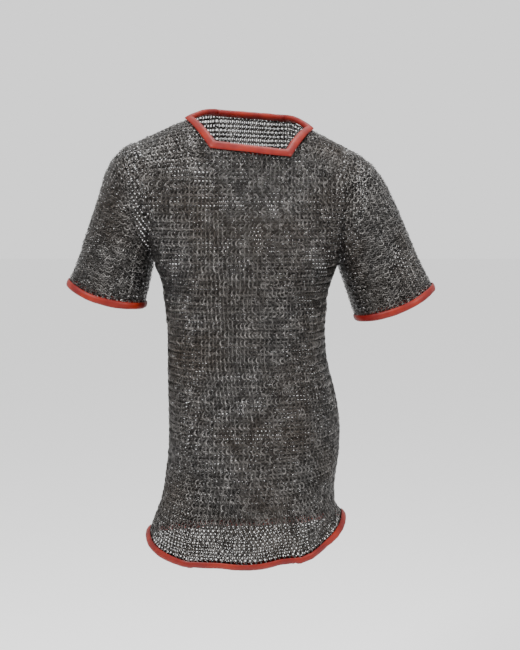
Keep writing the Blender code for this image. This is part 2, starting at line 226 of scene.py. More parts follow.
@dataclass(frozen=True)
class LeatherFinish:
    """Smooth dyed leather, mottled where it is worn and creased."""

    name: str = "edge_leather"
    red: Colour = (0.092, 0.0026, 0.0014)
    orange: Colour = (0.185, 0.011, 0.0018)
    rose: Colour = (0.105, 0.0070, 0.0100)
    # Colour of the painted shade in the creases
    shade: Colour = (0.026, 0.0008, 0.0008)
    roughness: float = 0.42
    roughness_spread: float = 0.16
    patch: float = 34.0 * MM
    mottle: float = 8.0 * MM
    crease: float = 4.5 * MM
    crease_stretch: float = 0.22
    grain: float = 1.1 * MM

    def make(self) -> bpy.types.Material:
        """Make patches of dye, painted shade in the creases across the strip, and a fine grain.

        Returns:
            The material.
        """
        shader = Shader(self.name)
        place = shader.node("ShaderNodeTexCoord", output="Object")
        strip = shader.node("ShaderNodeTexCoord", output="UV")
        along = shader.node("ShaderNodeMapping", inputs={
            "Vector": strip, "Scale": (1.0, self.crease_stretch, 1.0)})
        patches = shader.clouds(place, self.patch, 2.0)
        mottle = shader.clouds(place, self.mottle, 3.0)
        creases = shader.clouds(along, self.crease, 3.0)
        cells = shader.node("ShaderNodeTexVoronoi", {"feature": "DISTANCE_TO_EDGE"},
                            {"Vector": place, "Scale": 1.0 / self.grain})
        colour = shader.mix((patches - 0.40) * 2.6, self.red, self.orange)
        colour = shader.mix((mottle - 0.52) * 2.4, colour, self.rose)
        # Painted shade: the colour darkens towards the shade colour where the bump sinks the
        # creases
        colour = shader.mix((0.44 - creases) * 4.0, colour, self.shade)
        height = creases * 0.8 + cells * 0.35
        relief = shader.node("ShaderNodeBump", inputs={
            "Strength": 0.55, "Distance": 0.5 * MM, "Height": height})
        return shader.finish(
            Base_Color=colour,
            Roughness=self.roughness + self.roughness_spread * mottle,
            Specular_IOR_Level=0.20,
            Normal=relief)


@dataclass(frozen=True)
class PlainFinish:
    """A matt, plain surface for the studio."""

    name: str
    colour: Colour
    roughness: float = 0.9

    def make(self) -> bpy.types.Material:
        """Return the material."""
        return Shader(self.name).finish(Base_Color=(*self.colour, 1.0), Roughness=self.roughness)


# Small tools


def unit(vectors: Array) -> Array:
    """Return the vectors at length 1."""
    return vectors / np.maximum(np.linalg.norm(vectors, axis=-1, keepdims=True), TINY)


def deselect_all() -> None:
    """Leave object mode and deselect every object."""
    if bpy.context.object and bpy.context.object.mode != "OBJECT":
        bpy.ops.object.mode_set(mode="OBJECT")
    bpy.ops.object.select_all(action="DESELECT")


def closed(loop: Array) -> Array:
    """Return the loop with its first point again at its end."""
    return np.concatenate([loop, loop[:1]])


def lengths_along(spots: Array) -> Array:
    """Return the length from the first point to each point of a path."""
    steps = np.linalg.norm(np.diff(spots, axis=0), axis=1)
    return np.concatenate(([0.0], np.cumsum(steps)))


def read_at(wanted: Array, run: Array, spots: Array) -> Array:
    """Return the points of a path at the wanted lengths along it."""
    return np.stack([np.interp(wanted, run, spots[:, axis]) for axis in range(3)], axis=1)


def waves(spots: Array, size: float, seed: float) -> Array:
    """Return smooth noise from -1 to 1 at each point.

    Args:
        spots: The points.
        size: Length of its waves in metres.
        seed: Offset that gives another pattern.

    Returns:
        One value for each point.
    """
    shift = Vector((seed, -seed, 2.0 * seed))
    return np.array([noise.noise(Vector(spot) / size + shift) for spot in spots])


class Wall:
    """The wall of a node, met by rays from inside the garment."""

    def __init__(self, name: str) -> None:
        """Read the faces of the node of this name."""
        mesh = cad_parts[name].data
        self.tree = BVHTree.FromPolygons([vertex.co.copy() for vertex in mesh.vertices],
                                         [list(face.vertices) for face in mesh.polygons])

    def middle(self, start: Vector, direction: Vector) -> Vector | None:
        """Return the point in the middle of the wall where a ray meets its inner face.

        Args:
            start: A point inside the garment.
            direction: The ray's unit direction.

        Returns:
            The point, or None where the ray leaves through an opening.
        """
        spot, normal, _, _ = self.tree.ray_cast(start, direction, RAY_REACH)
        if spot is None or normal.dot(direction) > -GRAZING:
            return None
        return spot - normal * (WALL / 2.0)


# Rings


@dataclass(frozen=True)
class Ring:
    """One ring of the mail: a closed flat hoop, 2.4 mm wide and a little over 0.5 mm thick."""

    mean_radius: float = 5.8 * MM
    wire_radius: float = 1.58 * MM
    flattening: float = 0.20
    bends: int = 9
    sides: int = 3

    def model(self) -> tuple[Array, Array]:
        """Model the hoop once.

        Returns:
            Its corners and its faces.
        """
        deselect_all()
        bpy.ops.mesh.primitive_torus_add(
            major_segments=self.bends, minor_segments=self.sides,
            major_radius=self.mean_radius, minor_radius=self.wire_radius)
        hoop = bpy.context.object
        bpy.ops.object.mode_set(mode="EDIT")
        bpy.ops.mesh.select_all(action="SELECT")
        bpy.ops.transform.resize(value=(1.0, 1.0, self.flattening))
        bpy.ops.mesh.normals_make_consistent(inside=False)
        bpy.ops.object.mode_set(mode="OBJECT")
        corners = np.array([vertex.co[:] for vertex in hoop.data.vertices])
        faces = np.array([face.vertices[:] for face in hoop.data.polygons])
        mesh = hoop.data
        bpy.data.objects.remove(hoop)
        bpy.data.meshes.remove(mesh)
        return corners, faces


@dataclass
class Places:
    """Where rings lie: their centres, directions, leans and rows."""

    centre: Array
    out: Array
    along: Array
    lean: Array
    row: Array

    def __len__(self) -> int:
        """Return how many rings there are."""
        return len(self.centre)

    def where(self, keep: Array) -> "Places":
        """Return the rings that keep is true for."""
        return Places(self.centre[keep], self.out[keep], self.along[keep],
                      self.lean[keep], self.row[keep])


@dataclass
class MailCloth:
    """A cloth of rings, and how far apart they lie when it is spread out flat."""

    ring: Ring
    finish: bpy.types.Material
    flat_pitch: float = 7.55 * MM
    flat_row_step: float = 8.05 * MM
    lean_spread: float = 4.0
    tilt_spread: float = 4.0
    drift: float = 0.25 * MM
    # Shape of the spread of the rings' tones: most are dark, few are bright
    tones: tuple[float, float] = (1.0, 2.0)

    def weave(self, name: str, places: Places, seed: int) -> bpy.types.Object:
        """Copy the ring to its places and join the copies.

        Args:
            name: The piece's name.
            places: Where the rings lie.
            seed: Seed of the small differences between rings.

        Returns:
            The piece.
        """
        chance = np.random.default_rng(seed)
        corners, faces = self.ring.model()
        spots = self.spread(places, corners, chance)
        mesh = self.join(name, spots, faces)
        tone = mesh.attributes.new("ring_tone", "FLOAT", "POINT")
        tone.data.foreach_set("value", np.repeat(
            chance.beta(*self.tones, len(places)), len(corners)).astype(np.float32))
        mesh.materials.append(self.finish)
        piece = bpy.data.objects.new(name, mesh)
        bpy.context.scene.collection.objects.link(piece)
        LOG.info("%s: %d rings, %d faces", name, len(places), len(mesh.polygons))
        return piece

    def spread(self, places: Places, corners: Array, chance: np.random.Generator) -> Array:
        """Turn and shift a copy of the ring to each place.

        Args:
            places: Where the rings lie.
            corners: The ring's corners.
            chance: Source of the small differences between rings.

        Returns:
            The corners of each ring.
        """
        count = len(places)
        lean = places.lean + np.radians(chance.normal(0.0, self.lean_spread, count))
        tilt = np.radians(chance.normal(0.0, self.tilt_spread, count))
        along = unit(places.along - places.out * np.sum(
            places.along * places.out, axis=1, keepdims=True))
        up = np.cross(places.out, along)
        axis = places.out * np.cos(lean)[:, None] + along * np.sin(lean)[:, None]
        axis = unit(axis + up * np.sin(tilt)[:, None])
        first = unit(up - axis * np.sum(up * axis, axis=1, keepdims=True))
        second = np.cross(axis, first)
        centre = places.centre + chance.normal(0.0, self.drift, (count, 3))
        return (centre[:, None, :]
                + corners[None, :, 0, None] * first[:, None, :]
                + corners[None, :, 1, None] * second[:, None, :]
                + corners[None, :, 2, None] * axis[:, None, :])

    @staticmethod
    def join(name: str, spots: Array, faces: Array) -> bpy.types.Mesh:
        """Join the rings into one mesh.

        Args:
            name: The mesh's name.
            spots: The corners of each ring.
            faces: One ring's faces.

        Returns:
            The mesh.
        """
        count, corners = spots.shape[:2]
        starts = np.arange(count)[:, None, None] * corners
        polygons = (faces[None, :, :] + starts).reshape(-1, faces.shape[1])
        mesh = bpy.data.meshes.new(name)
        mesh.vertices.add(count * corners)
        mesh.vertices.foreach_set("co", spots.astype(np.float32).ravel())
        mesh.loops.add(polygons.size)
        mesh.loops.foreach_set("vertex_index", polygons.astype(np.int32).ravel())
        mesh.polygons.add(len(polygons))
        mesh.polygons.foreach_set(
            "loop_start", np.arange(0, polygons.size, faces.shape[1], dtype=np.int32))
        mesh.update(calc_edges=True)
        mesh.shade_smooth()
        return mesh

    def declare(self, piece: bpy.types.Object, node: str, places: Places) -> None:
        """Attach a piece to the root and hide the node that it replaces.

        Args:
            piece: The piece.
            node: The node.
            places: The piece's rings; not used.
        """
        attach(piece, "root")
        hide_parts(node)


# Body


@dataclass
class RowLine:
    """One row's line over a panel, by its length from the row's middle."""

    spots: Array
    run: Array
    solid: Array
    pitch: float
    # Least share of mail at a ring, and how far past the end one may lie, in pitches
    least_solid: float = 0.98
    slack: float = 0.3

    def read(self, counts: Array) -> tuple[Array, Array]:
        """Return the places a number of rings from the middle.

        Args:
            counts: How many rings to the left of the middle each place is.

        Returns:
            The places, and which of them lie on the mail.
        """
        wanted = counts * self.pitch
        spots = read_at(wanted, self.run, self.spots)
        on = np.interp(wanted, self.run, self.solid) > self.least_solid
        slack = self.slack * self.pitch
        inside = (wanted > self.run[0] - slack) & (wanted < self.run[-1] + slack)
        return spots, on & inside


@dataclass
class Body:
    """The front and back of the body, its rows running level round the chest."""

    cloth: MailCloth
    rings_across: int = 62
    row_step: float = 7.3 * MM
    hem_row_step: float = 5.0 * MM
    pivot_height: float = -0.12
    seam_height: float = -0.256
    hem_height: float = -0.780
    hem_margin: float = 12.0 * MM
    # Heights between which the rows draw together
    tight_below: float = -0.62
    tight_from: float = -0.74
    yoke_span: tuple[float, float] = (-0.204, 0.174)
    yoke_stations: int = 127
    yoke_angles: int = 90
    shoulder_angle: float = 86.0
    yoke_top_angle: float = 89.4
    bridge_stretch: float = 1.02
    lean: float = 18.0
    wave_height: float = 2.0 * MM
    wave_length: float = 0.05
    wave_seed: float = 3.0
    # Where the upper pieces end and the lower ones begin
    split_height: float = -0.425
    ray_count: int = 240
    ray_limit: float = 89.6
    # How far below and above the hem its edge is looked for, and in how many halvings
    edge_search: tuple[float, float] = (0.03, 0.06)
    edge_halvings: int = 9
    # Seed of the first piece
    seed: int = 11
    # How the rows' tilt and sag along the hem fade up the body: shares by height
    slope_heights: tuple[float, ...] = (-0.780, -0.742, -0.706, -0.667, -0.591, -0.515)
    slope_shares: tuple[float, ...] = (1.0, 0.75, 0.5, 0.33, 0.14, 0.0)

    def __post_init__(self) -> None:
        """Read the two panels' walls."""
        self.walls = {Side.FRONT: Wall("body_front"), Side.BACK: Wall("body_back")}
        self.bearings = np.radians(
            np.linspace(-self.ray_limit, self.ray_limit, self.ray_count + 1))
        self.edges = {side: self.find_edge(side) for side in Side}

    def tightness(self, height: float) -> float:
        """Return 0 on the torso and 1 in the drawn-in rows above the hem."""
        share = (self.tight_below - height) / (self.tight_below - self.tight_from)
        return min(max(share, 0.0), 1.0)

    def find_edge(self, side: Side) -> Array:
        """Find a panel's lower edge by halving.

        Args:
            side: The panel.

        Returns:
            The height of the edge at each bearing.
        """
        below, above = self.edge_search
        heights = []
        for angle in self.bearings:
            direction = Vector((math.sin(angle), side.value * math.cos(angle), 0.0))
            low, high = self.hem_height - below, self.hem_height + above
            for _ in range(self.edge_halvings):
                height = (low + high) / 2.0
                if self.walls[side].middle(Vector((0.0, 0.0, height)), direction) is None:
                    low = height
                else:
                    high = height
            heights.append(high)
        return np.array(heights)

    def yoke_track(self, side: Side, across: float) -> Array:
        """Trace an upright plane across the yoke, from its top to the pivot's height.

        Args:
            side: The panel.
            across: The plane's X.

        Returns:
            The angle of each ray that met the mail, and the place it met.
        """
        start = Vector((across, 0.0, self.pivot_height))
        known = []
        for angle in np.radians(np.linspace(self.yoke_top_angle, 0.0, self.yoke_angles)):
            spot = self.walls[side].middle(
                start, Vector((0.0, side.value * math.cos(angle), math.sin(angle))))
            if spot is not None:
                known.append((angle, *spot))
        return np.array(known)

    def yoke_rows(self, side: Side, guide: RowLine) -> list[RowLine]:
        """Return the rows over the shoulders, from the shoulder seam down to the pivot.

        On the shoulders each plane is cut into equal steps. Below the neck the steps of the
        shoulders go on, and the rows end where the neck's edge does.

        Args:
            side: The panel.
            guide: The closed row below, which gives the middle and the rings' pitch.

        Returns:
            The rows.
        """
        stations = np.linspace(*self.yoke_span, self.yoke_stations)
        tracks = [self.yoke_track(side, across) for across in stations]
        shortest = 3
        on_shoulder = [len(track) > shortest and track[0, 0] > math.radians(self.shoulder_angle)
                       for track in tracks]
        nearly_level = 0.02
        full = [len(track) > shortest and track[-1, 0] < nearly_level for track in tracks]
        spans = {across: lengths_along(track[:, 1:])[-1]
                 for across, track, shoulder, whole in zip(stations, tracks, on_shoulder, full)
                 if shoulder and whole}
        rows = round(np.mean(list(spans.values())) / self.row_step)
        steps = np.interp(stations, list(spans), [span / rows for span in spans.values()])
        lines = []
        for row in range(rows):
            spots, order = [], []
            for index, track in enumerate(tracks):
                if not (on_shoulder[index] or full[index]):
                    continue
                run = lengths_along(track[:, 1:])
                wanted = (row + 0.5) * steps[index]
                if not on_shoulder[index]:
                    wanted = run[-1] - (rows - row - 0.5) * steps[index]
                if 0.0 <= wanted <= run[-1]:
                    spots.append(read_at(np.array([wanted]), run, track[:, 1:])[0])
                    order.append(index)
            lines.append(self.open_row(np.array(spots), np.array(order), guide))
        return lines

    def level_heights(self) -> list[float]:
        """Step down from the pivot to the hem, closer where the rows draw together.

        Returns:
            The heights of the level rows.
        """
        heights = []
        height = self.pivot_height
        while height > self.hem_height + self.hem_margin:
            tight = self.tightness(height)
            step = self.row_step * (1.0 - tight) + self.hem_row_step * tight
            heights.append(height - step / 2.0)
            height -= step
        return heights

    def trace(self, side: Side, height: float, level: bool = False) -> tuple[Array, Array]:
        """Cast level rays at a panel, each as far above the height as the hem's slope lifts it.

        Args:
            side: The panel.
            height: Height of the row.
            level: Whether the whole slope of the hem is kept at this height.

        Returns:
            The places met, and the numbers of the rays that met the mail.
        """
        share = 1.0 if level else float(np.interp(height, self.slope_heights, self.slope_shares))
        spots = []
        order = []
        for index, angle in enumerate(self.bearings):
            direction = Vector((math.sin(angle), side.value * math.cos(angle), 0.0))
            lift = (self.edges[side][index] - self.hem_height) * share
            spot = self.walls[side].middle(Vector((0.0, 0.0, height + lift)), direction)
            if spot is not None:
                spots.append(spot[:])
                order.append(index)
        return np.array(spots), np.array(order)

    def closed_row(self, side: Side, height: float) -> RowLine:
        """Trace a row that runs from side to side.

        Args:
            side: The panel.
            height: Height of the row.

        Returns:
            The row.
        """
        spots, _ = self.trace(side, height)
        run = lengths_along(spots)
        return RowLine(spots, run - run[-1] / 2.0, np.ones(len(spots)), run[-1] / self.rings_across)

    def open_row(self, spots: Array, order: Array, guide: RowLine) -> RowLine:
        """Return a row that ends at the armholes and may be broken by the neck.

        Args:
            spots: The places that were traced.
            order: Their numbers, with a jump where the row is broken.
            guide: The closed row below, which gives the middle and the rings' pitch.

        Returns:
            The row.
        """
        longest_miss = 3
        just_inside = 0.002
        steps = np.linalg.norm(np.diff(spots, axis=0), axis=1)
        broken = np.diff(order) > longest_miss
        steps = np.where(broken, steps * self.bridge_stretch, steps)
        run = np.concatenate(([0.0], np.cumsum(steps)))
        middle = read_at(np.zeros(1), guide.run, guide.spots)[0, 0]
        run = run - np.interp(middle, spots[:, 0], run)
        all_spots, all_runs, all_solid = [spots], [run], [np.ones(len(spots))]
        for gap in np.flatnonzero(broken):
            for share in (just_inside, 1.0 - just_inside):
                all_spots.append((spots[gap] + (spots[gap + 1] - spots[gap]) * share)[None])
                all_runs.append([run[gap] + (run[gap + 1] - run[gap]) * share])
                all_solid.append([0.0])
        run = np.concatenate(all_runs)
        sort = np.argsort(run, kind="stable")
        return RowLine(np.concatenate(all_spots)[sort], run[sort],
                       np.concatenate(all_solid)[sort], guide.pitch)

    def rows(self, side: Side) -> tuple[list[RowLine], Array]:
        """Lay a panel's rows from the shoulder down.

        Args:
            side: The panel.

        Returns:
            The rows and their heights.
        """
        levels = self.level_heights()
        guide = self.closed_row(
            side, max(height for height in levels if height < self.seam_height))
        lines = self.yoke_rows(side, guide)
        heights = np.array([self.pivot_height] * len(lines) + levels)
        for height in levels:
            if height < self.seam_height:
                lines.append(self.closed_row(side, height))
            else:
                lines.append(self.open_row(*self.trace(side, height), guide))
        return lines, heights

    def places(self, side: Side) -> Places:
        """Lay a panel's rings in its rows.

        Args:
            side: The panel.

        Returns:
            The rings' places. The rings on the two side lines belong to the front.
        """
        lines, heights = self.rows(side)
        half = self.rings_across / 2.0
        counts = np.arange(0.0, self.rings_across + 0.5, 0.5) - half
        read = [line.read(counts) for line in lines]
        grid = np.array([spots for spots, _ in read])
        on = np.array([inside for _, inside in read])
        along = self.difference(grid, on, 1, 2)
        up = -self.difference(grid, on, 0, 1)
        out = unit(np.cross(along, up)) * -side.value
        out = self.smoothed(out, on)
        bob = waves(grid.reshape(-1, 3), self.wave_length, self.wave_seed).reshape(on.shape)
        grid = grid + unit(up) * (bob * self.wave_height)[:, :, None]
        row, column = np.indices(on.shape)
        odd = row % 2 == 1
        taken = on & np.where(odd, column % 2 == 0, column % 2 == 1)
        if side is Side.BACK:
            at_side = (column == 0) | (column == len(counts) - 1)
            taken &= ~(at_side & (heights[row] < self.seam_height))
        lean = math.radians(self.lean) * np.where(odd, -1.0, 1.0) * -side.value
        return Places(grid[taken], out[taken], unit(along)[taken], lean[taken], row[taken])

    @staticmethod
    def difference(grid: Array, on: Array, axis: int, reach: int) -> Array:
        """Return the step from the place before to the place after, skipping open places.

        Args:
            grid: Places by row and column.
            on: Which of them lie on the mail.
            axis: 0 for steps across the rows, 1 for steps along them.
            reach: How many places away the two neighbours are.

        Returns:
            The steps.
        """
        size = grid.shape[axis]
        here = np.arange(size)
        result = []
        for sign in (1, -1):
            beside = np.clip(here + sign * reach, 0, size - 1)
            spots = np.take(grid, beside, axis=axis)
            known = np.take(on, beside, axis=axis)
            result.append(np.where(known[:, :, None], spots, grid))
        return result[0] - result[1]

    @staticmethod
    def smoothed(values: Array, on: Array) -> Array:
        """Even vectors out with those beside them.

        Args:
            values: Vectors by row and column.
            on: Which of them lie on the mail.

        Returns:
            The vectors at length 1.
        """
        total = values * on[:, :, None]
        for axis in (0, 1):
            padded = np.concatenate(
                [np.take(total, [0], axis), total, np.take(total, [-1], axis)], axis)
            before = np.take(padded, np.arange(total.shape[axis]), axis)
            after = np.take(padded, np.arange(2, total.shape[axis] + 2), axis)
            total = before + after + 2.0 * total
        known = np.linalg.norm(total, axis=2, keepdims=True) > 1e-6
        return np.where(known, unit(total), values)

    def build(self, strips: Sequence["Strip"]) -> list[bpy.types.Object]:
        """Weave the four pieces of the body.

        Args:
            strips: The strips, which hide the rings well inside their folds.

        Returns:
            The pieces.
        """
        pieces = []
        for side, node in ((Side.FRONT, "body_front"), (Side.BACK, "body_back")):
            places = clear_of(strips, self.places(side))
            upper = places.centre[:, 2] > self.split_height
            for name, part in (("upper", places.where(upper)), ("lower", places.where(~upper))):
                seed = self.seed + len(pieces)
                piece = self.cloth.weave(f"{node}_mail_{name}", part, seed)
                self.cloth.declare(piece, node, part)
                pieces.append(piece)
        return pieces


# Sleeves


@dataclass
class Sleeve:
    """One sleeve, its rows running from the armhole to the cuff."""

    cloth: MailCloth
    node: str
    # X and Z of the upper and the lower end
    armhole: tuple[tuple[float, float], tuple[float, float]]
    cuff: tuple[tuple[float, float], tuple[float, float]]
    seed: int
    # How much the rays sink at the cuff, in front and behind, and how fast that fades
    front_hang: float = 10.0 / 72.0
    back_hang: float = 18.0 / 72.0
    hang_fade: float = 1.8
    lifts: tuple[float, ...] = (0.0, 0.008, 0.016, 0.030, 0.050)
    rows: int = 74
    step: float = 8.2 * MM
    planes: int = 70
    plane_span: tuple[float, float] = (0.002, 0.985)
    rays: int = 180
    lean: float = 21.0
    wave_height: float = 1.0 * MM
    wave_length: float = 0.06
    wave_seed: float = 5.0
    most_rings: float = 60.0

    def __post_init__(self) -> None:
        """Read the wall and trace the columns from the cuff up."""
        self.wall = Wall(self.node)
        self.columns = self.trace()

    def crossing(self) -> tuple[float, float]:
        """Cross the cuff's plane with the armhole's.

        Returns:
            X and Z of the line where they meet.
        """
        (x1, z1), (x2, z2) = self.armhole
        (x3, z3), (x4, z4) = self.cuff
        scale = (x1 - x2) * (z3 - z4) - (z1 - z2) * (x3 - x4)
        first = x1 * z2 - z1 * x2
        second = x3 * z4 - z3 * x4
        return ((first * (x3 - x4) - (x1 - x2) * second) / scale,
                (first * (z3 - z4) - (z1 - z2) * second) / scale)

    def trace(self) -> Array:
        """Trace the sleeve in planes that turn about one line, from the cuff to the armhole.

        Returns:
            The places of every row, by plane.
        """
        pivot_x, pivot_z = self.crossing()
        pivot = Vector((pivot_x, 0.0, pivot_z))
        ends = []
        for line in (self.cuff, self.armhole):
            top = Vector((line[0][0], 0.0, line[0][1])) - pivot
            ends.append(math.atan2(top.z, top.x))
        turn = (ends[1] - ends[0] + math.pi) % (2.0 * math.pi) - math.pi
        rings = []
        for share in np.linspace(*self.plane_span, self.planes):
            angle = ends[0] + turn * share
            ahead = Vector((math.cos(angle), 0.0, math.sin(angle)))
            centre = pivot + ahead * self.bore_middle(pivot, ahead)
            spots = []
            for bearing in np.linspace(0.0, 2.0 * math.pi, self.rays + 1)[:-1]:
                aside = math.sin(bearing)
                hang = self.front_hang if aside > 0.0 else self.back_hang
                sink = aside * aside * hang * (1.0 - share) ** self.hang_fade
                # A ray that passes below the cuff is lifted until it meets the wall
                for lift in self.lifts:
                    direction = -ahead * math.cos(bearing) + Vector((0.0, -aside, lift - sink))
                    spot = self.wall.middle(centre, direction.normalized())
                    if spot is not None:
                        spots.append(spot[:])
                        break
            loop = np.array(spots + spots[:1])
            run = lengths_along(loop)
            rings.append(read_at(np.arange(self.rows) / self.rows * run[-1], run, loop))
        return np.array(rings)

    def bore_middle(self, pivot: Vector, ahead: Vector) -> float:
        """Find the middle of the sleeve's bore on a line.

        Args:
            pivot: A point on the line, outside the sleeve.
            ahead: The line's unit direction.

        Returns:
            How far ahead of the pivot the middle lies.
        """
        set_back = 0.05
        nudge = 1e-5
        four_faces = 4
        hits = []
        start = pivot - ahead * set_back
        travelled = -set_back
        while len(hits) < 2 * four_faces:
            spot, _, _, distance = self.wall.tree.ray_cast(start, ahead, RAY_REACH)
            if spot is None:
                break
            travelled += distance
            hits.append(travelled)
            start = spot + ahead * nudge
        if len(hits) < four_faces:
            return sum(hits) / len(hits)
        return (hits[1] + hits[-2]) / 2.0

    def places(self) -> Places:
        """Lay the sleeve's rings in its rows.

        Returns:
            The rings' places.
        """
        tracks = self.columns
        centre_line = tracks.mean(axis=1)
        around = np.roll(tracks, -1, axis=1) - np.roll(tracks, 1, axis=1)
        along = np.gradient(tracks, axis=0)
        out = unit(np.cross(around, along))
        facing = np.sign(np.sum(out * (tracks - centre_line[:, None, :]), axis=2))
        out = out * np.sign(np.median(facing))
        centre, outward, direction, lean, number = [], [], [], [], []
        for row in range(self.rows):
            run = lengths_along(tracks[:, row])
            wanted = np.arange(0.25 + 0.5 * (row % 2), self.most_rings) * self.step
            wanted = wanted[wanted < run[-1]]
            centre.append(read_at(wanted, run, tracks[:, row]))
            outward.append(read_at(wanted, run, out[:, row]))
            direction.append(read_at(wanted, run, along[:, row]))
            turned = math.radians(self.lean) * (1.0 if row % 2 else -1.0)
            lean.append(np.full(len(wanted), turned))
            number.append(np.full(len(wanted), row))
        centre = np.concatenate(centre)
        outward = unit(np.concatenate(outward))
        bob = waves(centre, self.wave_length, self.wave_seed) * self.wave_height
        return Places(centre + outward * bob[:, None], outward,
                      unit(np.concatenate(direction)), np.concatenate(lean),
                      np.concatenate(number))

    def build(self, strips: Sequence["Strip"]) -> bpy.types.Object:
        """Weave the sleeve.

        Args:
            strips: The strips, which hide the rings well inside their folds.

        Returns:
            The piece.
        """
        places = clear_of(strips, self.places())
        piece = self.cloth.weave(self.node + "_mail", places, self.seed)
        self.cloth.declare(piece, self.node, places)
        return piece

    def edge_lines(self, points: int) -> tuple[Array, Array]:
        """Return a number of points on the cuff's edge and at its strip's cut edge."""
        return edge_lines(self.columns, points)


def closed_resample(loop: Array, count: int) -> Array:
    """Return count points evenly spaced round a closed loop."""
    run = lengths_along(closed(loop))
    return read_at(np.arange(count) / count * run[-1], run, closed(loop))


def edge_lines(tracks: Array, points: int) -> tuple[Array, Array]:
    """Walk up the mail from its edge by a strip's width.

    Args:
        tracks: Paths that run up from the edge, by step and place round the edge.
        points: How many points are wanted.

    Returns:
        Matching points on the edge and at the strip's cut edge.
    """
    width = np.array([STRIP_WIDTH])
    upper = np.array([read_at(width, lengths_along(track), track)[0]
                      for track in tracks.transpose(1, 0, 2)])
    return closed_resample(tracks[0], points), closed_resample(upper, points)


# Leather strips


